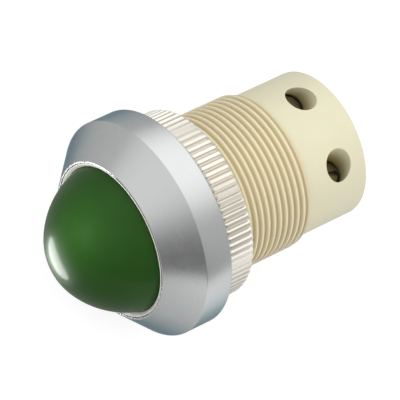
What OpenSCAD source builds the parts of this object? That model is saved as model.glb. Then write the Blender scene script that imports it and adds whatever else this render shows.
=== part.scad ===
// Panel pilot light for a 22 mm hole: a domed lens in a metal bezel on a threaded
// plastic body, held by a knurled ring nut, with two screw terminals at the rear.
// Frame: the lamp's axis lies along Y, the lens looks along -Y, and the origin is on
// the axis in the plane of the bezel's rear edge, which seats on the panel. The two
// terminal screws are reached from +Z. All sizes are in millimetres.

/* [Body thread and ring nut] */
// Outer diameter of the body's thread, which passes through the panel
thread_d = 22; // [20:0.5:24]
// Pitch of the body's thread
thread_pitch = 1; // [0.75:0.25:1.5]
// Depth of the thread's grooves
thread_depth = 0.55; // [0.4:0.05:0.7]
// Length of the threaded stretch behind the panel seat
thread_len = 16.8; // [14:0.2:18]
// Wall of the ring nut, from its bore to the crests of its knurl
nut_wall = 2.1; // [1.6:0.1:3]
// Thickness of the ring nut
nut_h = 4.3; // [3:0.1:6]
// Number of teeth in the nut's straight knurl
knurl_teeth = 80; // [60:2:90]
// Depth of the knurl
knurl_depth = 0.35; // [0.2:0.05:0.45]
// Width of the flat washer under the nut
washer_w = 1.8; // [1.2:0.1:2]
// Thickness of the flat washer
washer_t = 0.6; // [0.4:0.1:1.2]
// Space between the panel seat and the washer when the nut is run right up
panel_space = 0.45; // [0.3:0.05:2]

/* [Bezel] */
// Step from the thread out to the body's head, which the bezel screws on
head_step = 2.5; // [2.2:0.1:2.8]
// Wall of the bezel's rim round the head
rim_wall = 1.6; // [1.4:0.1:2]
// Height of the rim's straight side
rim_h = 4.2; // [3.9:0.1:4.5]
// Height of the bezel over the panel
bezel_h = 8.4; // [8:0.1:9]
// Width of the bezel's cone, from the rim to the opening
cone_w = 4.25; // [3.8:0.05:4.6]
// Thickness of the bezel's cone, square to its face
cone_wall = 1.2; // [1:0.05:1.3]
// Chamfer on the bezel's outer edges
bezel_edge = 0.25; // [0.1:0.05:0.4]

/* [Lens] */
// How far the dome stands out of the bezel
dome_out = 8.5; // [7.5:0.1:10]
// Wall of the lens
lens_wall = 1.5; // [1:0.1:2]
// Thickness of the lens's flange
flange_t = 1.4; // [1:0.1:1.6]
// Width of the white ring that shows between the dome and the bezel
ring_w = 0.8; // [0.6:0.05:1]

/* [Body] */
// Length of the body behind the panel seat
body_len = 27; // [26:0.2:32]
// Step from the thread in to the body's plain rear stretch
rear_step = 0.7; // [0.4:0.1:1]
// Height of the body's head in front of the panel seat
head_h = 3.6; // [3.4:0.1:3.8]
// Wall of the body under the thread's grooves
body_wall = 1.85; // [1.5:0.05:2]
// Wall between the body's cavity and the terminal pockets
partition_t = 3; // [2:0.1:4]
// Thickness of the rubber gasket behind the head
gasket_t = 1.1; // [0.8:0.1:1.4]
// Thickness of the rear cover
cover_t = 1.6; // [1.2:0.1:2]
// Rim of the body round the rear cover
cover_rim = 0.9; // [0.7:0.05:1]

/* [Terminals] */
// Wall of the body at the outer corners of the terminal pockets
pocket_wall = 1.2; // [1:0.05:1.5]
// Outer width of a brass terminal cage
cage_w = 4.6; // [4.4:0.1:4.8]
// Length of a terminal cage along the lamp
cage_l = 5.6; // [5:0.1:5.8]
// Wall of a terminal cage
cage_wall = 0.8; // [0.6:0.05:1]
// Thickness of the cage's floor
cage_floor_t = 1; // [0.8:0.1:1.2]
// Thickness of the cage's tapped top
cage_top_t = 1.6; // [1.2:0.1:1.8]
// Height of the cage's window for the wire
window_h = 3.2; // [3:0.1:3.4]
// Depth of the terminal pocket's floor below the lamp's axis
pocket_floor = 4.4; // [4.2:0.1:4.6]
// Travel of the wire clamp from open to shut
clamp_travel = 2; // [1.6:0.1:2.2]
// Thickness of the wire clamp plate
clamp_t = 0.8; // [0.6:0.1:1]
// Length of the cage's solder tail inside the body's cavity
tail_l = 1.7; // [1.4:0.1:2]
// Width of the solder tail
tail_w = 2; // [1.6:0.1:2.4]
// Thickness of the solder tail
tail_t = 0.8; // [0.6:0.1:1]
// Outer diameter of the terminal screw's thread
screw_d = 3; // [2.5:0.1:3]
// Diameter of the terminal screw's head
screw_head_d = 3.7; // [3.5:0.05:3.8]
// Height of the terminal screw's head
screw_head_h = 1.5; // [1.2:0.1:1.7]
// Clearance round the screw's head in the screwdriver hole
head_clear = 0.15; // [0.1:0.05:0.3]
// Width and depth of the screw's slot
slot_w = 0.6; // [0.5:0.1:0.8]
slot_depth = 0.8; // [0.6:0.1:1]
// Diameter of the wire entries in the rear cover
wire_hole_d = 3.2; // [2.6:0.1:3.4]

/* [Boards and parts inside] */
// Thickness of both circuit boards
board_t = 1.2; // [1:0.1:1.6]
// Depth of the round board's front below the face of the body's head
board_depth = 0.8; // [0.6:0.1:1]
// Ledge that carries the round board in front of the cavity
board_ledge = 1; // [0.8:0.1:1.2]
// Free length of the cavity behind the driver board
driver_space = 2.9; // [2.5:0.1:4]
// Diameter of an LED's body
led_d = 3; // [2.6:0.1:3.2]
// Height of an LED over the board
led_h = 4.2; // [3.6:0.1:5]
// Distance from the round board's edge to the axes of the outer LEDs
led_inset = 3.8; // [3.4:0.1:4.4]
// Width of the header pins that join the boards
pin_w = 0.6; // [0.5:0.1:0.7]
// Distance from the round board's edge to the header pins' axes
pin_inset = 2.8; // [2.4:0.1:3.2]
// Length of the header pins on the driver board
pin_l = 2.5; // [2:0.1:3]
// Width of the dropper capacitor
dropper_w = 10; // [8:0.1:11]
// Length of the dropper capacitor along the lamp
dropper_l = 5.5; // [4:0.1:6]
// Gap between the dropper capacitor's corners and the body
dropper_gap = 0.8; // [0.5:0.1:1.5]
// Space along the driver board in front of its parts
parts_inset = 3.5; // [3:0.1:4]
// Space between neighbouring parts on the driver board
parts_gap = 0.6; // [0.4:0.1:1]
// Diameter of the smoothing capacitor
smoothing_d = 5; // [4:0.1:5.4]
// Length of the smoothing capacitor
smoothing_l = 4.8; // [4:0.1:5]
// Width of the bridge rectifier's case
rectifier_w = 4.8; // [4:0.1:6]
// Length of the bridge rectifier's case along the lamp
rectifier_l = 4; // [3:0.1:5]
// Height of the bridge rectifier's case
rectifier_h = 1.6; // [1.2:0.1:2]
// Diameter of the series resistor's body
resistor_d = 2.3; // [1.8:0.1:2.6]
// Length of the series resistor's body
resistor_l = 5.6; // [5:0.1:6]
// Distance between the series resistor's two leads where they enter the board
resistor_span = 7.8; // [7:0.1:9]
// Diameter of the series resistor's leads
resistor_lead_d = 0.5; // [0.4:0.1:0.6]
// Diameter of the insulated wires inside
wire_d = 1; // [0.8:0.1:1.2]
// Radius of the bend in the insulated wires
wire_bend = 1.2; // [1:0.1:1.4]

/* [Fits] */
// Radial clearance between parts that screw together
thread_clear = 0.05; // [0.02:0.01:0.1]
// Clearance between parts that move past each other
run_gap = 0.1; // [0.05:0.05:0.15]
// Clearance round parts that are pushed into a seat
seat_gap = 0.05; // [0.02:0.01:0.1]

/* [Hidden] */
$fn = 96;
eps = 0.01;
over = 1;

// Radii, from the thread outwards and inwards
thread_r = thread_d / 2;
root_r = thread_r - thread_depth;
cavity_r = root_r - body_wall;
board_seat_r = cavity_r + board_ledge;
led_board_r = board_seat_r - 2 * run_gap;
pin_x = led_board_r - pin_inset;
spigot_r = cavity_r - seat_gap;
head_r = thread_r + head_step;
bezel_bore_r = head_r + thread_clear;
rim_r = bezel_bore_r + rim_wall;
opening_r = rim_r - cone_w;
rear_r = thread_r - rear_step;
cover_r = rear_r - cover_rim - seat_gap;
nut_bore_r = thread_r + thread_clear;
nut_r = nut_bore_r + nut_wall;
washer_bore_r = thread_r + run_gap;
washer_r = washer_bore_r + washer_w;
screw_head_r = screw_head_d / 2;
screw_r = screw_d / 2 - thread_clear;
access_r = screw_head_r + head_clear;

// Stations along the lamp, with the panel seat at 0 and the lens on the minus side
head_front = -head_h;
flange_front = head_front - flange_t;
bezel_front = -bezel_h;
dome_tip = bezel_front - dome_out;
washer_front = panel_space;
nut_front = washer_front + washer_t;
nut_rear = nut_front + nut_h;
thread_end = thread_len;
cover_front = body_len - cover_t;
cage_rear = cover_front - run_gap;
cage_front = cage_rear - cage_l;
screw_y = cage_rear - cage_l / 2;
pocket_front = cage_front - run_gap;
cavity_end = pocket_front - partition_t;
led_board_front = head_front + board_depth;
led_board_rear = led_board_front + board_t;
driver_front = led_board_rear + run_gap;
driver_rear = cavity_end - driver_space;

// The bezel's cone runs from the rim to the opening, with a parallel inner face
cone_slope = cone_w / (bezel_h - rim_h);
cone_shift = cone_wall * sqrt(1 + pow(cone_slope, 2));
function cone_inside(y) = rim_r - (-y - rim_h) * cone_slope - cone_shift;
function cone_inside_station(r) = -(rim_r - cone_shift - r) / cone_slope - rim_h;
flange_r = cone_inside(flange_front) - 3 * run_gap;
ring_r = opening_r - run_gap;

// The dome's outline is two arcs that meet smoothly. The tip's centre is on the axis, and
// the flank's is set so that the dome comes through the bezel's front at neck_r
neck_r = opening_r - ring_w;
tip_r = 0.89 * neck_r;
flank_r = 1.31 * neck_r;
arc_step = flank_r - tip_r;
tip_centre = dome_tip + tip_r;
neck_y = bezel_front - tip_centre;
neck_reach = sqrt(pow(neck_r, 2) + pow(neck_y, 2));
join_angle = atan2(neck_y, neck_r)
    + asin((pow(flank_r, 2) - pow(arc_step, 2) - pow(neck_reach, 2)) / (2 * arc_step * neck_reach));
flank_centre = [-arc_step * sin(join_angle), tip_centre + arc_step * cos(join_angle)];

// Radius of the dome's outside at a station on its flank
function dome_at(y) = flank_centre[0] + sqrt(pow(flank_r, 2) - pow(y - flank_centre[1], 2));

// Levels in the terminals, upwards from the pocket's floor
floor_z = -pocket_floor;
window_floor = floor_z + cage_floor_t;
window_top = window_floor + window_h;
cage_top = window_top + cage_top_t;
clamp_top = window_top - run_gap;
clamp_floor = clamp_top - clamp_t;
wire_z = (window_floor + clamp_floor) / 2;
head_floor = cage_top + clamp_travel + 2 * run_gap;
head_top = head_floor + screw_head_h;
pocket_top = head_top + run_gap;
tail_front = cavity_end - tail_l;

// The pockets stand as far apart as the wall at their outer corners allows
pocket_half = cage_w / 2 + run_gap;
terminal_x = sqrt(pow(rear_r - pocket_wall, 2) - pow(pocket_top, 2)) - pocket_half;

// Turns what is drawn along Z so that it lies along the lamp, from front to rear
module along_lamp() {
    rotate([-90, 0, 0]) children();
}

// A disc or a cylinder on the lamp's axis between two stations
module round_between(r, front, rear) {
    along_lamp() translate([0, 0, front]) cylinder(r = r, h = rear - front);
}

module turned(points) {
    along_lamp() rotate_extrude() polygon(points);
}

// A block with its lowest and highest corners
module block(low, high) {
    translate(low) cube(high - low);
}

// Places children at one terminal: side is -1 for the left one and 1 for the right
module at_terminal(side) {
    translate([side * terminal_x, 0, 0]) children();
}

// ---- body ----

// One groove of the thread, cut as a ring with flat root and sloped flanks
groove_crest = thread_pitch / 5;
groove_root = thread_pitch / 5;
groove_flank = (thread_pitch - groove_crest - groove_root) / 2;
thread_start = gasket_t / 2;
groove_count = floor((thread_end - thread_start) / thread_pitch);
function groove_points(n) = let (y = thread_end - (n + 1) * thread_pitch) [
    [thread_r, y + groove_crest / 2],
    [root_r, y + groove_crest / 2 + groove_flank],
    [root_r, y + groove_crest / 2 + groove_flank + groove_root],
    [thread_r, y + thread_pitch - groove_crest / 2]
];
rear_chamfer = 0.4;
thread_chamfer = 0.3;
head_chamfer = 0.3;

module housing_outside() {
    turned(concat(
        [[0, head_front], [head_r - head_chamfer, head_front], [head_r, head_front + head_chamfer],
         [head_r, -gasket_t], [thread_r, -gasket_t]],
        [for (n = [groove_count - 1 : -1 : 0]) each groove_points(n)],
        [[thread_r, thread_end - thread_chamfer], [thread_r - thread_chamfer, thread_end],
         [0, thread_end]]
    ));
}

// Ribs that hold the driver board's two edges inside the cavity
rib_inner_x = cavity_r - 1.1;
rib_z = board_t / 2 + run_gap;
rib_t = 1;
rib_root = 0.25;
module board_ribs() {
    for (turn = [0, 180], flip = [0, 1])
        rotate([0, turn, 0]) mirror([0, 0, flip])
            block([rib_inner_x, driver_front + over, rib_z],
                  [cavity_r + rib_root, tail_front - run_gap, rib_z + rib_t]);
}

// Pocket for a terminal, open to the rear, with its screwdriver hole and tail slot
module terminal_pocket() {
    block([-pocket_half, pocket_front, floor_z],
          [pocket_half, cover_front + over / 2, pocket_top]);
    translate([0, screw_y, pocket_top - eps]) cylinder(r = access_r, h = body_len);
    block([-tail_w / 2 - run_gap, cavity_end - eps, floor_z],
          [tail_w / 2 + run_gap, pocket_front + eps, floor_z + tail_t + run_gap]);
}

module housing() {
    color("ivory") {
        difference() {
            housing_outside();
            round_between(board_seat_r, head_front - over, led_board_rear);
            round_between(cavity_r, head_front - over, thread_end + over);
        }
        board_ribs();
    }
}

// The plain stretch behind the thread, with a spigot that is pushed into the body's cavity
module terminal_block() {
    spigot_wall = 0.8;
    color("ivory") difference() {
        union() {
            round_between(spigot_r, tail_front, thread_end + eps);
            turned([
                [0, thread_end], [rear_r, thread_end], [rear_r, body_len - rear_chamfer],
                [rear_r - rear_chamfer, body_len], [0, body_len]
            ]);
        }
        round_between(spigot_r - spigot_wall, min(tail_front, thread_end) - over, cavity_end);
        for (side = [-1, 1]) at_terminal(side) terminal_pocket();
        round_between(cover_r + seat_gap, cover_front, body_len + over);
    }
}

module rear_cover() {
    funnel = 0.4;
    color("ivory") difference() {
        round_between(cover_r, cover_front, body_len);
        for (side = [-1, 1]) at_terminal(side) translate([0, 0, wire_z]) {
            round_between(wire_hole_d / 2, cover_front - over, body_len + over);
            along_lamp() translate([0, 0, body_len - funnel])
                cylinder(r1 = wire_hole_d / 2, r2 = wire_hole_d / 2 + 2 * funnel, h = 2 * funnel);
        }
    }
}

// ---- front: bezel, lens and gaskets ----

module bezel() {
    lip = cone_inside_station(opening_r);
    shoulder = cone_inside_station(bezel_bore_r);
    color("silver") turned([
        [opening_r, bezel_front],
        [opening_r + bezel_edge, bezel_front],
        [rim_r - bezel_edge / 2, -rim_h - bezel_edge / 2],
        [rim_r, -rim_h + bezel_edge],
        [rim_r, -bezel_edge],
        [rim_r - bezel_edge, 0],
        [bezel_bore_r, 0],
        [bezel_bore_r, shoulder],
        [opening_r, lip]
    ]);
}

// Outline of the dome down to a station, or of its inside when inset by the lens's wall
module dome_outline(inset, rear) {
    reach = flank_r;
    join_lap = 2;
    intersection() {
        union() {
            translate([0, tip_centre]) circle(r = tip_r - inset);
            intersection() {
                translate(flank_centre) circle(r = flank_r - inset);
                translate([0, tip_centre]) rotate(join_angle + join_lap - 90) square([reach, reach]);
            }
        }
        translate([0, dome_tip - over]) square([reach, rear - dome_tip + over]);
    }
}

module lens() {
    ledge_r = board_seat_r - run_gap;
    ledge_rear = led_board_front - run_gap;
    bore_r = dome_at(flange_front) - lens_wall - 2 * run_gap;
    color("green") along_lamp() rotate_extrude() difference() {
        union() {
            dome_outline(0, head_front);
            translate([0, flange_front]) square([flange_r, flange_t]);
            translate([0, head_front - eps]) square([ledge_r, ledge_rear - head_front + eps]);
        }
        dome_outline(lens_wall, flange_front + eps);
        translate([0, flange_front]) square([bore_r, ledge_rear - flange_front + over]);
    }
}

// White ring that seals the dome in the bezel: a foot on the flange and a thin collar
module lens_gasket() {
    bore_gap = 0.08;
    foot_front = flange_front - 0.8;
    foot_r = cone_inside(foot_front) - 2 * run_gap;
    ring_front = bezel_front - run_gap;
    ring_inner = bezel_front + ring_w / 2;
    lip = cone_inside_station(opening_r);
    steps = 4;
    color("white") turned(concat(
        [[foot_r, flange_front],
         [foot_r, foot_front],
         [ring_r, max(lip + run_gap, foot_front - (foot_r - ring_r))],
         [ring_r, ring_front]],
        [for (n = [0 : steps]) let (y = ring_inner + (flange_front - ring_inner) * n / steps)
            [dome_at(y) + bore_gap, y]]
    ));
}

module panel_gasket() {
    color("black") difference() {
        round_between(head_r - run_gap, -gasket_t, 0);
        round_between(thread_r + run_gap, -gasket_t - over, over);
    }
}

// ---- panel fixing ----

module panel_washer() {
    color("gainsboro") difference() {
        round_between(washer_r, washer_front, nut_front);
        round_between(washer_bore_r, washer_front - over, nut_front + over);
    }
}

// Straight knurl: each tooth is a flat crest, and a sharp root lies between two teeth
tooth_angle = 360 / knurl_teeth;
knurl_points = [
    for (n = [0 : knurl_teeth - 1], step = [[-0.25, 0], [0.25, 0], [0.5, 1]])
        let (a = (n + step[0]) * tooth_angle, r = nut_r - step[1] * knurl_depth)
        [r * cos(a), r * sin(a)]
];

module ring_nut() {
    nut_chamfer = 0.5;
    color("lightgray") intersection() {
        along_lamp() translate([0, 0, nut_front]) linear_extrude(height = nut_h) difference() {
            polygon(knurl_points);
            circle(r = nut_bore_r);
        }
        turned([
            [nut_bore_r - over, nut_front], [nut_r - nut_chamfer, nut_front],
            [nut_r + eps, nut_front + nut_chamfer], [nut_r + eps, nut_rear - nut_chamfer],
            [nut_r - nut_chamfer, nut_rear], [nut_bore_r - over, nut_rear]
        ]);
    }
}

// ---- boards and parts inside ----

pin_hole_r = pin_w / sqrt(2) + run_gap / 2;
module led_board() {
    color("darkgreen") difference() {
        round_between(led_board_r, led_board_front, led_board_rear);
        for (side = [-1, 1]) translate([side * pin_x, 0, board_t / 2 + pin_w / 2])
            round_between(pin_hole_r, led_board_front - over, led_board_rear + over);
    }
}

// One LED, standing on the board with its round end forward
module led() {
    rim = 0.15;
    base = 0.8;
    round_between(led_d / 2 + rim, led_board_front - base, led_board_front);
    round_between(led_d / 2, led_board_front - led_h + led_d / 2, led_board_front);
    translate([0, led_board_front - led_h + led_d / 2, 0]) sphere(r = led_d / 2, $fn = 48);
}

module led_cluster() {
    color("palegreen") {
        led();
        for (n = [0 : 5]) rotate([0, 30 + n * 60, 0]) translate([led_board_r - led_inset, 0, 0]) led();
    }
}

module driver_board() {
    half = cavity_r - 0.3;
    color("darkgreen") block([-half, driver_front, -board_t / 2], [half, driver_rear, board_t / 2]);
}

module header_pins() {
    out_front = 0.5;
    color("goldenrod") for (side = [-1, 1]) translate([side * pin_x, 0, board_t / 2])
        block([-pin_w / 2, led_board_front - out_front, 0],
              [pin_w / 2, driver_front + pin_l, pin_w]);
}

dropper_front = driver_front + parts_inset;
dropper_h = sqrt(pow(cavity_r - dropper_gap, 2) - pow(dropper_w / 2, 2)) - board_t / 2;
module dropper_capacitor() {
    color("firebrick") translate([-dropper_w / 2, dropper_front, board_t / 2])
        cube([dropper_w, dropper_l, dropper_h]);
}

module smoothing_capacitor() {
    front = dropper_front + dropper_l + parts_gap;
    sleeve = 0.15;
    color("midnightblue") translate([0, 0, board_t / 2 + smoothing_d / 2])
        round_between(smoothing_d / 2, front, front + smoothing_l - sleeve);
    color("silver") translate([0, 0, board_t / 2 + smoothing_d / 2])
        round_between(smoothing_d / 2 - 2 * sleeve, front, front + smoothing_l);
}

// Case under the driver board, with four flat legs that reach out from its sides
rectifier_front = driver_front + parts_inset + parts_gap;
module bridge_rectifier() {
    leg = [rectifier_w / 5, rectifier_l / 7, rectifier_h / 5];
    color("dimgray") translate([0, rectifier_front, -board_t / 2]) {
        translate([-rectifier_w / 2, 0, -rectifier_h]) cube([rectifier_w, rectifier_l, rectifier_h]);
        for (turn = [0, 180], row = [0.25, 0.75])
            translate([0, rectifier_l / 2, 0]) rotate([0, 0, turn])
                translate([rectifier_w / 2 - eps, (row - 0.5) * rectifier_l - leg[1] / 2, -leg[2]])
                    cube(leg);
    }
}

// Axial resistor under the driver board, with its two leads bent up to the board
module series_resistor() {
    lead_r = resistor_lead_d / 2;
    reach = resistor_span / 2;
    drop = resistor_d / 2 + 3 * run_gap;
    y = rectifier_front + rectifier_l + parts_gap + resistor_d / 2;
    color("tan") translate([0, y, -board_t / 2 - drop]) {
        translate([-resistor_l / 2, 0, 0]) rotate([0, 90, 0])
            cylinder(r = resistor_d / 2, h = resistor_l);
        translate([-reach, 0, 0]) rotate([0, 90, 0]) cylinder(r = lead_r, h = 2 * reach, $fn = 24);
        for (side = [-1, 1]) translate([side * reach, 0, 0]) {
            sphere(r = lead_r, $fn = 24);
            cylinder(r = lead_r, h = drop, $fn = 24);
        }
    }
}

// Insulated wire from a terminal's tail, round one bend, up to the driver board
module lead_wire(side) {
    low = floor_z + tail_t + wire_d / 2 + seat_gap;
    bend_front = min(tail_front, driver_rear + wire_bend - wire_d);
    color("darkred") at_terminal(side) {
        translate([0, 0, low]) round_between(wire_d / 2, bend_front, tail_front + wire_bend);
        translate([0, bend_front, low + wire_bend]) rotate([0, 90, 180])
            rotate_extrude(angle = 90) translate([wire_bend, 0]) circle(r = wire_d / 2);
        translate([0, bend_front - wire_bend, low + wire_bend])
            cylinder(r = wire_d / 2, h = -board_t / 2 - low - wire_bend);
    }
}

// ---- terminals ----

module terminal_cage(side) {
    half = cage_w / 2;
    color("gold") at_terminal(side) {
        difference() {
            block([-half, cage_front, floor_z], [half, cage_rear, cage_top]);
            block([-half + cage_wall, cage_front - over, window_floor],
                  [half - cage_wall, cage_rear + over, window_top]);
            translate([0, screw_y, window_top - eps]) cylinder(r = screw_d / 2, h = cage_top_t + over);
        }
        block([-tail_w / 2, tail_front, floor_z], [tail_w / 2, cage_front + eps, floor_z + tail_t]);
    }
}

module clamp_plate(side) {
    half = cage_w / 2 - cage_wall - run_gap;
    length = cage_l - 1.6;
    color("silver") at_terminal(side)
        block([-half, screw_y - length / 2, clamp_floor], [half, screw_y + length / 2, clamp_top]);
}

module terminal_screw(side) {
    color("silver") at_terminal(side) translate([0, screw_y, 0]) difference() {
        union() {
            translate([0, 0, head_floor]) cylinder(r = screw_head_r, h = screw_head_h);
            translate([0, 0, clamp_top + run_gap])
                cylinder(r = screw_r, h = head_floor - clamp_top - run_gap + eps);
        }
        block([-screw_head_d, -slot_w / 2, head_top - slot_depth], [screw_head_d, slot_w / 2, head_top + over]);
    }
}

housing();
terminal_block();
bezel();
lens();
lens_gasket();
panel_gasket();
panel_washer();
ring_nut();
rear_cover();
led_board();
led_cluster();
driver_board();
header_pins();
dropper_capacitor();
smoothing_capacitor();
bridge_rectifier();
series_resistor();
terminal_cage(-1);  // terminal_cage_1
terminal_cage(1);  // terminal_cage_2
clamp_plate(-1);  // clamp_plate_1
clamp_plate(1);  // clamp_plate_2
terminal_screw(-1);  // terminal_screw_1
terminal_screw(1);  // terminal_screw_2
lead_wire(-1);  // lead_wire_1
lead_wire(1);  // lead_wire_2
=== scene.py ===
# %% [markdown]
# A panel pilot light, dressed for rendering.
# The model's frame gives every size and place in metres: the lamp's axis lies along Y,
# the lens looks along -Y, and the origin is on the axis in the plane where the bezel
# meets the panel. The cells below replace the plain solids with finished surfaces.

# %% Load the frame
import math
import bmesh
import bpy
import numpy as np
from mathutils import Matrix, Vector


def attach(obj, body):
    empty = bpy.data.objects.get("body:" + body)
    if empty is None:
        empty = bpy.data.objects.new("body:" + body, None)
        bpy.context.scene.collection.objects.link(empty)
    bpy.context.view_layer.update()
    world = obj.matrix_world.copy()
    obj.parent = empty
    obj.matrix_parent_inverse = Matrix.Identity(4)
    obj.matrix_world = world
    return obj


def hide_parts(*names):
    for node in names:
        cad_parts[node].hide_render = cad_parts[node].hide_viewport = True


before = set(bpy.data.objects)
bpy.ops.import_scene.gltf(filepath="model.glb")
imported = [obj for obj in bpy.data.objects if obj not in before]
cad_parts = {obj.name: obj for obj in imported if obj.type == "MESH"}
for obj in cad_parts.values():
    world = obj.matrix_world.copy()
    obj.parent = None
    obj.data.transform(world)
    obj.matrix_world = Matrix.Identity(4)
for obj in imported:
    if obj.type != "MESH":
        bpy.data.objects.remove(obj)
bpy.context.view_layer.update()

# %% [markdown]
# The camera stands far off with a long lens, so that the view is nearly parallel.
# It is rolled, so the lamp rises from the lower left to the upper right.

# %% Camera
MM = 0.001
view_right = Vector((0.4833, 0.7795, 0.3984))
view_up = Vector((-0.8681, 0.3690, 0.3315))
view_back = view_right.cross(view_up).normalized()
view_up = view_back.cross(view_right).normalized()
aim = Vector((0.626, 4.914, 2.828)) * MM
view_width = 52.5 * MM
camera_data = bpy.data.cameras.new("camera")
camera_data.lens = 400
camera_data.sensor_width = 36
distance = view_width * camera_data.lens / camera_data.sensor_width
camera_data.clip_start, camera_data.clip_end = 0.05, 20
camera = bpy.data.objects.new("camera", camera_data)
turn = Matrix((view_right, view_up, view_back)).transposed().to_4x4()
camera.matrix_world = Matrix.Translation(aim + view_back * distance) @ turn
bpy.context.scene.collection.objects.link(camera)
bpy.context.scene.camera = camera
bpy.context.scene.view_settings.view_transform = "Standard"
print("camera distance:", round(distance, 4))

# %% [markdown]
# Most pieces are turned on a lathe, so one helper carries a profile round the axis.

# %% Helpers for meshes
def mesh_object(name, points, faces, smooth_angle=35):
    """An object from points in millimetres and faces.
    Doubles are merged, faces point outwards, and edges sharper than the angle stay sharp."""
    mesh = bpy.data.meshes.new(name)
    mesh.from_pydata((np.asarray(points, float) * MM).tolist(), [], [list(f) for f in faces])
    work = bmesh.new()
    work.from_mesh(mesh)
    bmesh.ops.remove_doubles(work, verts=work.verts, dist=2e-7)
    bmesh.ops.dissolve_degenerate(work, edges=work.edges, dist=1e-8)
    bmesh.ops.recalc_face_normals(work, faces=work.faces)
    work.to_mesh(mesh)
    work.free()
    finish_mesh(mesh, smooth_angle)
    made = bpy.data.objects.new(name, mesh)
    bpy.context.scene.collection.objects.link(made)
    return made


def finish_mesh(mesh, smooth_angle):
    """Smooth shading everywhere but over edges that turn by more than the angle."""
    mesh.shade_smooth()
    mesh.set_sharp_from_angle(angle=math.radians(smooth_angle))
    mesh.update()


def grid_faces(rows, columns, wrap_rows=False, wrap_columns=True):
    """Quads over a grid of points, row by row; a wrapped direction joins its last line to its first."""
    r = np.arange(rows if wrap_rows else rows - 1)
    c = np.arange(columns if wrap_columns else columns - 1)
    r, c = np.meshgrid(r, c, indexing="ij")
    r2, c2 = (r + 1) % rows, (c + 1) % columns
    quad = np.stack([r * columns + c, r * columns + c2, r2 * columns + c2, r2 * columns + c], -1)
    return quad.reshape(-1, 4)


def around(radius, station, angle):
    """Points on circles round the lamp's axis: (r cos a, y, r sin a), as whole arrays."""
    radius, station, angle = np.broadcast_arrays(radius, station, angle)
    return np.stack([radius * np.cos(angle), station, radius * np.sin(angle)], -1)


def lathe(name, profile, segments=192, smooth_angle=35):
    """A closed profile of (radius, station) points carried once round the axis."""
    profile = np.asarray(profile, float)
    angle = np.linspace(0, 2 * np.pi, segments, endpoint=False)
    grid = around(profile[:, :1], profile[:, 1:], angle[None, :])
    faces = grid_faces(len(profile), segments, wrap_rows=True)
    return mesh_object(name, grid.reshape(-1, 3), faces, smooth_angle)


def rounded(corners, radii, steps=6):
    """A closed outline with each corner replaced by an arc of its radius.
    The arc touches both sides at the distance r / tan(half the corner's angle)."""
    corners = np.asarray(corners, float)
    out = []
    for i, (p, r) in enumerate(zip(corners, radii)):
        a, b = corners[i - 1] - p, corners[(i + 1) % len(corners)] - p
        la, lb = np.linalg.norm(a), np.linalg.norm(b)
        a, b = a / la, b / lb
        half = math.acos(np.clip(a @ b, -1, 1)) / 2
        if r <= 0 or abs(half - math.pi / 2) < 1e-3:
            out.append(p[None, :])
            continue
        reach = min(r / math.tan(half), 0.49 * la, 0.49 * lb)
        r = reach * math.tan(half)
        middle = (a + b) / np.linalg.norm(a + b)
        centre = p + middle * (r / math.sin(half))
        start, end = p + a * reach - centre, p + b * reach - centre
        sweep = math.pi - 2 * half
        t = np.linspace(0, 1, steps + 1)[:, None]
        arc = (np.sin((1 - t) * sweep) * start + np.sin(t * sweep) * end) / math.sin(sweep)
        out.append(centre + arc)
    return np.concatenate(out)


def dress(piece, body, slot, material, *nodes):
    """Gives a finished piece its material and its body, and hides the solids that it stands for."""
    piece.data.materials.clear()
    piece.data.materials.append(material)
    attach(piece, body)
    if nodes:
        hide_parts(*nodes)
    print(piece.name, len(piece.data.polygons), "faces")
    return piece


# %% [markdown]
# Each finish is one Principled surface with small changes in colour, gloss and relief.

# %% Helper for materials
def finish(name, colour, roughness, metallic=0.0, shade=0.06, grain=400.0, bump=0.0,
           bump_scale=2500.0, gloss_change=0.05, **sockets):
    """A Principled material: a slow noise varies colour and roughness, and a fine noise makes the relief.
    shade is the share by which the colour darkens. grain and bump_scale are noise scales per metre,
    and bump is in metres."""
    material = bpy.data.materials.new(name)
    material.use_nodes = True
    nodes, links = material.node_tree.nodes, material.node_tree.links
    surface = nodes["Principled BSDF"]
    surface.inputs["Metallic"].default_value = metallic
    for key, value in sockets.items():
        surface.inputs[key.replace("_", " ")].default_value = value
    place = nodes.new("ShaderNodeTexCoord")
    slow = nodes.new("ShaderNodeTexNoise")
    slow.inputs["Scale"].default_value = grain
    slow.inputs["Detail"].default_value = 4
    links.new(place.outputs["Object"], slow.inputs["Vector"])
    mix = nodes.new("ShaderNodeMix")
    mix.data_type = "RGBA"
    mix.inputs[6].default_value = (*[c * (1 - shade) for c in colour], 1)
    mix.inputs[7].default_value = (*colour, 1)
    links.new(slow.outputs["Fac"], mix.inputs[0])
    links.new(mix.outputs[2], surface.inputs["Base Color"])
    spread = nodes.new("ShaderNodeMapRange")
    spread.inputs["To Min"].default_value = max(roughness - gloss_change, 0)
    spread.inputs["To Max"].default_value = roughness + gloss_change
    links.new(slow.outputs["Fac"], spread.inputs["Value"])
    links.new(spread.outputs["Result"], surface.inputs["Roughness"])
    if bump:
        fine = nodes.new("ShaderNodeTexNoise")
        fine.inputs["Scale"].default_value = bump_scale
        fine.inputs["Detail"].default_value = 3
        links.new(place.outputs["Object"], fine.inputs["Vector"])
        relief = nodes.new("ShaderNodeBump")
        relief.inputs["Distance"].default_value = bump
        relief.inputs["Strength"].default_value = 1
        links.new(fine.outputs["Fac"], relief.inputs["Height"])
        links.new(relief.outputs["Normal"], surface.inputs["Normal"])
    return material


def linear(r, g, b):
    """A colour of 0 to 255 values on screen, turned into light: ((c + 0.055) / 1.055) to the power 2.4."""
    c = np.array([r, g, b]) / 255
    return tuple(np.where(c <= 0.04045, c / 12.92, ((c + 0.055) / 1.055) ** 2.4))
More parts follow.
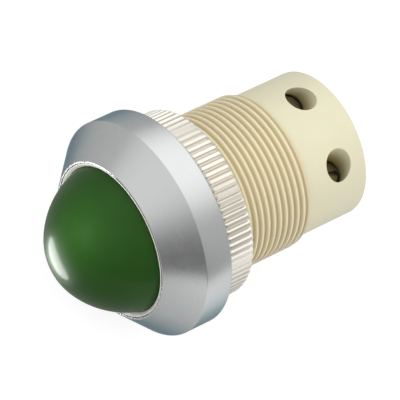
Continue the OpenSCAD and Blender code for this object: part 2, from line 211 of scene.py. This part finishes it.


# %% [markdown]
# The body is moulded in ivory plastic. A little light goes into such plastic before it comes
# out again, so it has weak subsurface scattering. The thread and the rear block get a material
# each, because shade is painted into their grooves and holes by their own radii further down.

# %% Ivory plastic
def ivory_finish(name, colour):
    """Matt moulded plastic with a fine relief and a little light inside."""
    return finish(name, colour, 0.42, shade=0.05, bump=6e-6, bump_scale=3000,
                  Subsurface_Weight=0.15, Subsurface_Scale=0.0006)


ivory = ivory_finish("ivory_plastic", linear(226, 218, 190))
ivory_block = ivory_finish("ivory_block", linear(219, 214, 185))
ivory_thread = ivory_finish("ivory_thread", linear(226, 216, 184))
print("plastics:", ivory.name, ivory_block.name, ivory_thread.name)

# %% [markdown]
# The bezel is satin aluminium. Its specular tint paints a darker, blue-green reflection at a grazing
# angle, for the shade under the part that the bezel reflects. The nut and the screws are plated, and
# warmer.

# %% Metals
# Painted reflection: the specular tint darkens and cools the grazing reflection, for the shade that the
# bezel reflects.
aluminium = finish("satin_aluminium", linear(212, 213, 213), 0.26, metallic=1.0, shade=0.05,
                   grain=900, bump=1e-6, bump_scale=9000, Specular_Tint=(0.30, 0.46, 0.52, 1))
nickel = finish("plated_nut", linear(238, 233, 222), 0.30, metallic=1.0, shade=0.05,
                bump=3e-6, bump_scale=3000)
steel = finish("plated_steel", linear(150, 142, 116), 0.40, metallic=1.0, shade=0.06, bump=3e-6)
brass = finish("brass", linear(205, 170, 96), 0.28, metallic=1.0, shade=0.1, bump=4e-6)
print("metals:", aluminium.name, nickel.name, steel.name, brass.name)

# %% [markdown]
# The lens is translucent moulded green. It could be made with real transmission, but unlit it
# looks nearly solid, so a deep colour with some subsurface light and a thin clear coat is closer.

# %% Lens
green = finish("green_lens", linear(33, 72, 19), 0.45, shade=0.12, grain=120, gloss_change=0.02,
               Specular_IOR_Level=0.10, Subsurface_Weight=0.2, Subsurface_Scale=0.0015,
               Coat_Weight=0.2, Coat_Roughness=0.11, Coat_IOR=1.4)
print("lens:", green.name)

# %% [markdown]
# The seals, the boards and the small parts inside each get a plain finish of their own kind.

# %% Seals and small parts
white = finish("white_seal", linear(250, 248, 238), 0.5, shade=0.04, bump=3e-6)
rubber = finish("black_rubber", linear(38, 38, 38), 0.7, shade=0.2, bump=8e-6)
board = finish("circuit_board", linear(30, 92, 52), 0.35, shade=0.15)
resin = finish("led_resin", linear(196, 228, 190), 0.15, shade=0.05, Transmission_Weight=0.4)
film_case = finish("capacitor_case", linear(140, 44, 34), 0.3, shade=0.1, bump=3e-6)
sleeve = finish("capacitor_sleeve", linear(30, 38, 66), 0.3, shade=0.1)
black_resin = finish("black_resin", linear(40, 40, 40), 0.55, shade=0.15, bump=6e-6)
lacquer = finish("resistor_lacquer", linear(190, 156, 112), 0.4, shade=0.1)
insulation = finish("wire_insulation", linear(122, 26, 24), 0.35, shade=0.08)
print("finishes in all:", len(bpy.data.materials))

# %% [markdown]
# The body is a moulded tube with a fine thread on its outside and a head in front, which the
# bezel screws on. The thread is a helix: its height depends on how far a point lies along the
# lamp, less one pitch for each turn. A Screw modifier could make it, but rows of numpy points
# let the ridge fade out at both ends.

# %% Threaded body
thread_r, root_r, thread_end, pitch = 11.0, 10.45, 16.8, 1.0
cavity_r, seat_r, head_r, head_front, gasket_t = 8.6, 9.6, 13.5, -3.6, 1.1


def thread_height(phase):
    """Height of the ridge, 0 at the root to 1 at the crest, for a phase of 0 to 1 along one pitch.
    A triangle wave is stretched and clipped, then eased so that the moulded crest and root are round."""
    tri = 1 - np.abs(2 * (phase % 1.0) - 1)
    flat = np.clip((tri - 0.2) / 0.6, 0, 1)
    return flat * flat * (3 - 2 * flat)


def thread_surface(columns=192, steps=20):
    """Rows that follow the helix, y = row + pitch * angle / 2 pi.
    They are held between the two ends, where the ridge fades out."""
    rows = np.arange(-steps, int(thread_end / pitch * steps) + steps + 1) / steps * pitch
    angle = np.linspace(0, 2 * np.pi, columns + 1)
    y = rows[:, None] + pitch * angle[None, :] / (2 * np.pi)
    held = np.clip(y, -gasket_t, thread_end)
    fade = np.clip((thread_end - held) / 0.5, 0, 1) * np.clip((held + gasket_t) / 0.6, 0, 1)
    base = root_r + (thread_r - 0.28 - root_r) * (1 - fade)
    radius = base + (thread_r - base) * thread_height(rows[:, None] / pitch) * fade
    return around(radius, held, angle[None, :])


def body_mesh():
    """The thread joined to the head in front and to the cavity inside by turned rows."""
    skin = thread_surface()
    columns = skin.shape[1]
    angle = np.linspace(0, 2 * np.pi, columns)
    end_r = thread_r - 0.28
    rest = np.array([
        [end_r, thread_end], [end_r - 0.25, thread_end], [cavity_r, thread_end], [cavity_r, -1.6],
        [seat_r, -1.6], [seat_r, head_front + 0.15],
        [seat_r + 0.15, head_front], [head_r - 0.35, head_front], [head_r - 0.1, head_front + 0.1],
        [head_r, head_front + 0.35], [head_r, -gasket_t], [end_r, -gasket_t]])
    turned = around(rest[:, :1], rest[:, 1:], angle[None, :])
    grid = np.concatenate([skin, turned])
    return grid.reshape(-1, 3), grid_faces(len(grid), columns, wrap_rows=True, wrap_columns=False)


def paint_shade_in_roots(material, root, crest, tint):
    """Paints shade into the grooves: the colour is multiplied by tint at the root radius, and kept at the
    crest.
    """
    nodes, links = material.node_tree.nodes, material.node_tree.links
    surface = nodes["Principled BSDF"]
    place = next(n for n in nodes if n.bl_idname == "ShaderNodeTexCoord")
    across = nodes.new("ShaderNodeVectorMath")
    across.operation = "MULTIPLY"
    across.inputs[1].default_value = (1, 0, 1)
    links.new(place.outputs["Object"], across.inputs[0])
    radius = nodes.new("ShaderNodeVectorMath")
    radius.operation = "LENGTH"
    links.new(across.outputs[0], radius.inputs[0])
    rise = nodes.new("ShaderNodeMapRange")
    rise.interpolation_type = "SMOOTHSTEP"
    rise.inputs["From Min"].default_value = root * MM
    rise.inputs["From Max"].default_value = crest * MM
    links.new(radius.outputs["Value"], rise.inputs["Value"])
    mix = nodes.new("ShaderNodeMix")
    mix.data_type = "RGBA"
    mix.inputs[6].default_value = (*tint, 1)
    mix.inputs[7].default_value = (1, 1, 1, 1)
    links.new(rise.outputs["Result"], mix.inputs[0])
    paint = nodes.new("ShaderNodeMix")
    paint.data_type, paint.blend_type = "RGBA", "MULTIPLY"
    paint.inputs[0].default_value = 1
    before = surface.inputs["Base Color"].links[0].from_socket
    links.new(before, paint.inputs[6])
    links.new(mix.outputs[2], paint.inputs[7])
    links.new(paint.outputs[2], surface.inputs["Base Color"])


# Painted shade: the thread's roots are darkened towards the root radius.
paint_shade_in_roots(ivory_thread, root_r, thread_r, (0.74, 0.69, 0.58))
body = mesh_object("threaded_body", *body_mesh(), smooth_angle=50)
dress(body, "root", "ivory_plastic", ivory_thread, "housing")

# %% [markdown]
# Behind the thread the body is plain, with two round holes that let a screwdriver in. A
# pocket for each terminal lies under them. Holes through a round wall have edges that are
# hard to write as a formula, so an exact Boolean cuts them, and a small Bevel softens them.

# %% Rear block
rear_r, body_len = 10.3, 27.0
terminal_x, screw_y, access_r = 5.068, 22.5, 2.0
cover_front, cover_r = 25.4, 9.35
pocket_half, pocket_front, floor_z, pocket_top = 2.4, 19.6, -4.4, 5.2


def box_mesh(name, low, high):
    """A box between two corners, as a cutter."""
    low, high = np.array(low, float), np.array(high, float)
    corner = np.array([[i, j, k] for i in (0, 1) for j in (0, 1) for k in (0, 1)])
    faces = [(0, 1, 3, 2), (4, 6, 7, 5), (0, 4, 5, 1), (2, 3, 7, 6), (0, 2, 6, 4), (1, 5, 7, 3)]
    return mesh_object(name, low + corner * (high - low), faces)


def rod_mesh(name, centre, axis, profile, segments=64):
    """A turned cutter: (radius, height) points carried round an axis through centre.
    Points of radius 0 at both ends close it."""
    profile = np.asarray(profile, float)
    angle = np.linspace(0, 2 * np.pi, segments, endpoint=False)
    ring = np.stack([profile[:, :1] * np.cos(angle), profile[:, :1] * np.sin(angle),
                     np.broadcast_to(profile[:, 1:], (len(profile), segments))], -1)
    if axis == "Y":
        ring = ring[..., [0, 2, 1]]
    points = (ring + np.array(centre, float)).reshape(-1, 3)
    return mesh_object(name, points, grid_faces(len(profile), segments, wrap_rows=True))


def cut(target, cutters):
    """Takes the cutters out of the target with an exact Boolean, and removes them."""
    for cutter in cutters:
        step = target.modifiers.new("cut", "BOOLEAN")
        step.operation, step.solver, step.object = "DIFFERENCE", "EXACT", cutter
    bpy.context.view_layer.update()
    solid = bpy.data.meshes.new_from_object(target.evaluated_get(bpy.context.evaluated_depsgraph_get()))
    target.modifiers.clear()
    target.data = solid
    for cutter in cutters:
        bpy.data.objects.remove(cutter)
    finish_mesh(solid, 35)
    return target


block_outline = rounded(
    [[0, thread_end], [rear_r, thread_end], [rear_r, body_len],
     [cover_r + 0.05, body_len], [cover_r + 0.05, cover_front], [0, cover_front]],
    [0, 0.15, 0.4, 0.12, 0, 0])
block = lathe("rear_block", block_outline, segments=256)
hole = [[0, -0.2], [access_r, -0.2], [access_r, 6.0], [0, 6.0]]
# Painted shade: the walls of the holes and pockets darken to a brown tint towards the axis.
paint_shade_in_roots(ivory_block, 6.0, 10.2, (0.50, 0.38, 0.16))
cut(block, [box_mesh("pocket", [s * terminal_x - pocket_half, pocket_front, floor_z],
                     [s * terminal_x + pocket_half, cover_front + 0.5, pocket_top]) for s in (-1, 1)]
    + [rod_mesh("hole", [s * terminal_x, screw_y, pocket_top], "Z", hole) for s in (-1, 1)])
soften = block.modifiers.new("soften", "BEVEL")
soften.width, soften.segments = 0.12 * MM, 3
soften.limit_method, soften.angle_limit = "ANGLE", math.radians(42)
dress(block, "root", "ivory_plastic", ivory_block, "terminal_block")

# %% [markdown]
# A round cover closes the rear. It has a wire entry with a small countersink under each screw.

# %% Rear cover
wire_z, wire_r = -2.25, 1.6
cover_outline = rounded(
    [[0, cover_front], [cover_r, cover_front], [cover_r, body_len], [0, body_len]],
    [0, 0.1, 0.25, 0])
cover = lathe("rear_cover_plate", cover_outline)
wire_hole = [[0, -1], [wire_r, -1], [wire_r, 1.2], [wire_r + 0.4, 1.6], [wire_r + 0.4, 3], [0, 3]]
cut(cover, [rod_mesh("wire_hole", [s * terminal_x, cover_front, wire_z], "Y", wire_hole) for s in (-1, 1)])
dress(cover, "root", "ivory_plastic", ivory, "rear_cover")

# %% [markdown]
# The bezel is turned from bar: a straight rim, a cone and a small flat lip. Its edges are
# broken by small arcs, which is what catches the light on turned metal, so the outline is
# rounded corner by corner before it goes round the axis.

# %% Bezel
rim_r, opening_r, rim_h, bezel_h, bore_r = 15.145, 10.9, 4.2, 8.4, 13.55
bezel_outline = rounded(
    [[opening_r, -bezel_h], [opening_r + 0.25, -bezel_h], [rim_r, -rim_h], [rim_r, 0],
     [bore_r, 0], [bore_r, -3.994], [opening_r, -6.66]],
    [0.04, 0.2, 0.16, 0.22, 0.1, 0.1, 0.1])
bezel = lathe("bezel_ring", bezel_outline, segments=256, smooth_angle=60)
dress(bezel, "bezel", "satin_aluminium", aluminium, "bezel")

# %% [markdown]
# The lens is a hollow dome with a flange behind, which the bezel's cone holds. One arc would
# be too blunt or too flat, so the dome is two arcs that share a tangent where they meet.

# %% Lens dome
neck_r, tip_y = 10.1, -16.9
tip_radius, flank_radius = 0.89 * neck_r, 1.31 * neck_r


def dome_profile(inset, rear, steps=48):
    """Points from the tip to the station rear.
    An arc round the axis comes first, then a wider arc from where the two share a tangent."""
    step = flank_radius - tip_radius
    tip_centre = tip_y + tip_radius
    neck_y = -bezel_h - tip_centre
    reach = math.hypot(neck_r, neck_y)
    bend = (flank_radius**2 - step**2 - reach**2) / (2 * step * reach)
    join = math.atan2(neck_y, neck_r) + math.asin(bend)
    centre = np.array([-step * math.sin(join), tip_centre + step * math.cos(join)])
    a = np.linspace(0, join, steps)
    near, wide = tip_radius - inset, flank_radius - inset
    first = np.stack([near * np.sin(a), tip_centre - near * np.cos(a)], -1)
    last = math.acos((centre[1] - rear) / wide)
    b = np.linspace(join, last, steps)
    second = np.stack([centre[0] + wide * np.sin(b), centre[1] - wide * np.cos(b)], -1)
    return np.concatenate([first, second[1:]])


outer, inner = dome_profile(0, -5.0), dome_profile(1.5, -5.0)
flange = np.array([[12.3, -5.0], [12.3, -3.6], [9.5, -3.6], [9.5, -2.9], [8.4, -2.9], [8.4, -5.0]])
lens = lathe("lens_dome", np.concatenate([outer, flange, inner[::-1]]), segments=256, smooth_angle=40)
dress(lens, "lens_unit", "green_lens", green, "lens")


def dome_radius(y):
    """Radius of the dome's outside at a station, read from its profile."""
    return float(np.interp(y, outer[:, 1], outer[:, 0]))


# %% [markdown]
# A white ring lies between the dome and the bezel and stands a hair proud of it. Its inner
# face follows the dome, so the dome's radius is read at the ring's two ends.

# %% White seal
ring_r = 10.8
seal_outline = rounded(
    [[dome_radius(-5.0) + 0.08, -5.0], [12.25, -5.0], [12.25, -5.8], [11.9, -5.8],
     [ring_r, -6.55], [ring_r, -8.5], [dome_radius(-8.0) + 0.05, -8.0]],
    [0, 0.1, 0.1, 0, 0.1, 0.10, 0.06])
seal = lathe("lens_seal", seal_outline)
dress(seal, "lens_unit", "white_seal", white, "lens_gasket")

# %% [markdown]
# The panel goes between a rubber gasket and a flat washer. Both are plain rings, so one
# function gives their outline from two radii and two stations.

# %% Gasket and washer
def ring_outline(inner, outer_edge, front_y, rear_y):
    """The four corners of a ring's section, as (radius, station)."""
    return [[inner, front_y], [outer_edge, front_y], [outer_edge, rear_y], [inner, rear_y]]


gasket = lathe("panel_seal", rounded(ring_outline(11.1, 13.4, -gasket_t, 0), [0.1, 0.2, 0.2, 0.1]))
dress(gasket, "root", "black_rubber", rubber, "panel_gasket")
washer = lathe("flat_washer", rounded(ring_outline(11.1, 12.9, 0.45, 1.05), [0.05, 0.15, 0.1, 0.05]))
dress(washer, "washer", "plated_steel", steel, "panel_washer")

# %% [markdown]
# The nut's knurl is straight: eighty flat crests with a sharp groove between each two. A
# bump map would leave its outline round, so the grooves are cut into the grid of points.

# %% Knurled nut
nut_bore, nut_r, nut_front, nut_rear, teeth = 11.05, 13.15, 1.05, 5.35, 80


def knurl(angle, depth=0.35):
    """How far the surface lies under the crest: a triangle wave over each tooth, its crest cut flat."""
    wave = np.abs(2 * ((angle * teeth / (2 * np.pi)) % 1.0) - 1)
    return depth * np.clip((wave - 0.45) / 0.55, 0, 1)


def nut_mesh(per_tooth=10):
    """Rows along the outline; the knurl's depth fades in over each chamfer, and the bore stays round."""
    outline = rounded(
        ring_outline(nut_bore, nut_r, nut_front, nut_rear), [0.3, 0.5, 0.5, 0.3], steps=5)
    angle = np.linspace(0, 2 * np.pi, teeth * per_tooth, endpoint=False)
    radius = outline[:, :1] - knurl(angle)[None, :] * np.clip((outline[:, :1] - (nut_r - 0.5)) / 0.5, 0, 1)
    grid = around(radius, outline[:, 1:], angle[None, :])
    return grid.reshape(-1, 3), grid_faces(len(outline), len(angle), wrap_rows=True)


nut = mesh_object("knurled_nut", *nut_mesh(), smooth_angle=28)
dress(nut, "nut", "plated_nut", nickel, "ring_nut")

# %% [markdown]
# A slotted screw shows at the bottom of each hole. Screws never stop at the same angle, so
# each slot is turned by its own amount. Only the head shows, so the shank stays plain.

# %% Terminal screws
def screw(name, side, slot_angle):
    """A cheese head over a plain shank, turned round Z, then slotted at an angle in degrees from X."""
    profile = rounded(
        [[0, -0.2], [1.45, -0.2], [1.45, 3.6], [1.85, 3.6], [1.85, 5.1], [0, 5.1]],
        [0, 0.1, 0, 0.1, 0.25, 0])
    made = rod_mesh(name, [side * terminal_x, screw_y, 0], "Z", profile)
    slot = box_mesh("slot", [-3, -0.3, 4.3], [3, 0.3, 6])
    place = Matrix.Translation(Vector((side * terminal_x, screw_y, 0)) * MM)
    slot.data.transform(place @ Matrix.Rotation(math.radians(slot_angle), 4, "Z"))
    return cut(made, [slot])


for n, side, slot_angle in ((1, -1, 20), (2, 1, 76)):
    made = screw(f"slotted_screw_{n}", side, slot_angle)
    dress(made, f"screw_{n}", "plated_steel", steel, f"terminal_screw_{n}")

# %% [markdown]
# The boards, their parts and the terminals stay as they are, hidden or nearly so. Each only
# takes its finish.

# %% Finishes for the solids that stay as they are
kept = {
    "led_board": board, "driver_board": board, "led_cluster": resin, "header_pins": brass,
    "dropper_capacitor": film_case, "smoothing_capacitor": sleeve, "bridge_rectifier": black_resin,
    "series_resistor": lacquer, "terminal_cage_1": brass, "terminal_cage_2": brass,
    "clamp_plate_1": steel, "clamp_plate_2": steel, "lead_wire_1": insulation, "lead_wire_2": insulation,
}
for name, material in kept.items():
    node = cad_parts[name]
    node.data.materials.clear()
    node.data.materials.append(material)
    print(name, material.name)

# %% [markdown]
# The floor is white to the camera and still takes a soft shadow. If it shone for every ray it
# would light the part from below, so it shines for rays that come straight from the camera,
# and more weakly, by place, for rays from metal, gloss and clear resin.

# %% Floor
floor_z_mm, floor_half = -15.2, 1500
corners = [[x * floor_half, y * floor_half, floor_z_mm] for x, y in ((-1, -1), (1, -1), (1, 1), (-1, 1))]
floor = mesh_object("floor", corners, [(0, 1, 2, 3)])
paper = bpy.data.materials.new("paper")
paper.use_nodes = True
nodes, links = paper.node_tree.nodes, paper.node_tree.links
surface = nodes["Principled BSDF"]
surface.inputs["Base Color"].default_value = (0.32, 0.32, 0.32, 1)
surface.inputs["Roughness"].default_value = 0.9
surface.inputs["Specular IOR Level"].default_value = 0.0
path = nodes.new("ShaderNodeLightPath")
also = nodes.new("ShaderNodeMath")
also.operation = "MAXIMUM"
links.new(path.outputs["Is Glossy Ray"], also.inputs[0])
links.new(path.outputs["Is Transmission Ray"], also.inputs[1])
dim = nodes.new("ShaderNodeMath")
dim.operation = "MULTIPLY"
links.new(also.outputs[0], dim.inputs[0])
place = nodes.new("ShaderNodeTexCoord")
across = nodes.new("ShaderNodeVectorMath")
across.operation = "DOT_PRODUCT"
across.inputs[1].default_value = (0.7, 0.7, 0)
links.new(place.outputs["Object"], across.inputs[0])
reach = nodes.new("ShaderNodeMapRange")
reach.interpolation_type = "SMOOTHSTEP"
for key, value in (("From Min", 0.0), ("From Max", 0.05), ("To Min", 0.2), ("To Max", 0.6)):
    reach.inputs[key].default_value = value
links.new(across.outputs["Value"], reach.inputs["Value"])
links.new(reach.outputs["Result"], dim.inputs[1])
lift = nodes.new("ShaderNodeMath")
lift.operation = "MULTIPLY"
lift.inputs[1].default_value = 0.74
links.new(path.outputs["Is Camera Ray"], lift.inputs[0])
surface.inputs["Emission Color"].default_value = (1, 1, 1, 1)
total = nodes.new("ShaderNodeMath")
links.new(lift.outputs[0], total.inputs[0])
links.new(dim.outputs[0], total.inputs[1])
links.new(total.outputs[0], surface.inputs["Emission Strength"])
floor.data.materials.append(paper)

print("floor at", floor_z_mm, "mm")

# %% [markdown]
# The world is a pale studio. Metal shows what is round it, and turned metal needs light and
# dark places to look round, so glossy rays see a sky that is brighter or darker by direction.

# %% World
world = bpy.data.worlds.new("studio")
bpy.context.scene.world = world
world.use_nodes = True
nodes, links = world.node_tree.nodes, world.node_tree.links
background = nodes["Background"]
path = nodes.new("ShaderNodeLightPath")
sky = nodes.new("ShaderNodeTexCoord")


def lobe(direction, start, end, low, high):
    """A value that goes smoothly from low to high as the ray turns towards a direction."""
    along = nodes.new("ShaderNodeVectorMath")
    along.operation = "DOT_PRODUCT"
    along.inputs[1].default_value = Vector(direction).normalized()
    links.new(sky.outputs["Generated"], along.inputs[0])
    card = nodes.new("ShaderNodeMapRange")
    card.interpolation_type = "SMOOTHSTEP"
    for key, value in (("From Min", start), ("From Max", end), ("To Min", low), ("To Max", high)):
        card.inputs[key].default_value = value
    links.new(along.outputs["Value"], card.inputs["Value"])
    return card.outputs["Result"]


front = lobe((-0.37, -0.82, 0.43), 0.6, 1.0, 1.0, 1.6)
bright = lobe((-0.45, 0.5, 0.74), 0.55, 1.0, 0.58, 1.35)
dark = lobe((0.85, -0.45, -0.1), 0.2, 1.0, 1.0, 0.3)
card = nodes.new("ShaderNodeMath")
card.operation = "MULTIPLY"
both = nodes.new("ShaderNodeMath")
both.operation = "MULTIPLY"
links.new(bright, both.inputs[0])
links.new(front, both.inputs[1])
links.new(both.outputs[0], card.inputs[0])
links.new(dark, card.inputs[1])
mirror = nodes.new("ShaderNodeMix")
mirror.inputs[2].default_value = 0.95
links.new(path.outputs["Is Glossy Ray"], mirror.inputs[0])
links.new(card.outputs[0], mirror.inputs[3])
mix = nodes.new("ShaderNodeMix")
mix.inputs[3].default_value = 1.0
links.new(path.outputs["Is Camera Ray"], mix.inputs[0])
links.new(mirror.outputs[0], mix.inputs[2])
links.new(mix.outputs[0], background.inputs["Strength"])
background.inputs["Color"].default_value = (1, 1, 1, 1)
print("world:", world.name)

# %% [markdown]
# Large soft lamps shape the body. Three small ones by the lens give the dome its glow and its
# one highlight. A lamp that would show as a square in the gloss is hidden from glossy rays.

# %% Lamps
def soft_lamp(name, place, aim_at, size, watts, colour=(1, 1, 1)):
    """A rectangular area lamp at a place in millimetres, turned towards a point, unseen by the camera."""
    data = bpy.data.lights.new(name, "AREA")
    data.shape = "RECTANGLE"
    data.size, data.size_y = size[0] * MM, size[1] * MM
    data.energy = watts
    data.color = colour
    lamp = bpy.data.objects.new(name, data)
    place, aim_at = Vector(place) * MM, Vector(aim_at) * MM
    facing = (place - aim_at).to_track_quat("Z", "Y").to_matrix().to_4x4()
    lamp.matrix_world = Matrix.Translation(place) @ facing
    lamp.visible_camera = False
    bpy.context.scene.collection.objects.link(lamp)
    return lamp


def from_view(x, y, z):
    """A place along the camera's right, up and back directions, in millimetres from the lamp's middle."""
    return tuple(Vector((0, 5, 0)) + view_right * x + view_up * y + view_back * z)


key = soft_lamp("key", from_view(-160, 260, 300), (0, 5, 0), (220, 160), 0.32)
key.visible_glossy = False
fill = soft_lamp("fill", from_view(260, -60, 300), (0, 5, 0), (200, 200), 0.35)
fill.visible_glossy = False
glow = soft_lamp("front_glow", (-4.3, -21.7, 8.9), (-2.3, -15.2, 4.7), (4, 4), 0.0008)
glow.visible_glossy = False
low = soft_lamp("low_front", (2, -25, -14.4), (0, -9, -6), (24, 10), 0.0009)
low.visible_glossy = False
strip_place = (-4.4, -25.6, -14.6)
strip = soft_lamp("front_strip", strip_place, (-4.4, -25.6, 0), (18.5, 12), 0.011)
strip_turn = Matrix.Rotation(math.radians(-5), 4, "Z") @ Matrix.Rotation(math.pi, 4, "X")
strip.matrix_world = Matrix.Translation(Vector(strip_place) * MM) @ strip_turn
strip.data.shape = "ELLIPSE"
strip.visible_diffuse = False
print("lamps:", len(bpy.data.lights))
